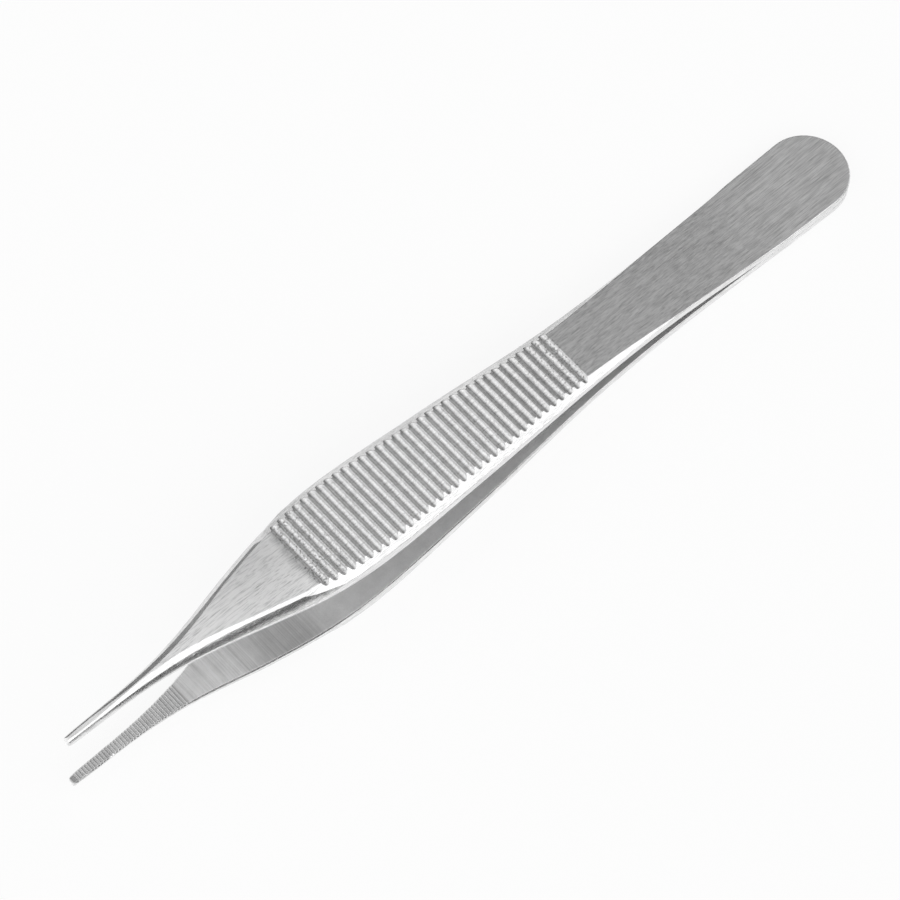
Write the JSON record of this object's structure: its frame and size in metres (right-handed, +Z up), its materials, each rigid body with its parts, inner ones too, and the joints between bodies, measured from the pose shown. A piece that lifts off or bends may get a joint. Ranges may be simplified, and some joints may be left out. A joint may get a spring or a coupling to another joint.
{
  "type": "thumb forceps",
  "caption": "Spring thumb forceps: two arms welded at a round heel, cross-grooved grips, a hollow taper and fine jaws with cross teeth inside.",
  "frame": {"origin": "bottom centre of the box the part fills as it lies on a table", "axes": "+X from the welded heel to the tips, +Y across the arms, +Z up from the table, the arms one over the other"},
  "size_m": [0.1204, 0.0124, 0.0149],
  "materials": {
    "satin_steel": "satin, brushed along the arms"
  },
  "bodies": {
    "root": {"upper_arm": "satin_steel", "lower_arm": "satin_steel"}
  },
  "joints": []
}
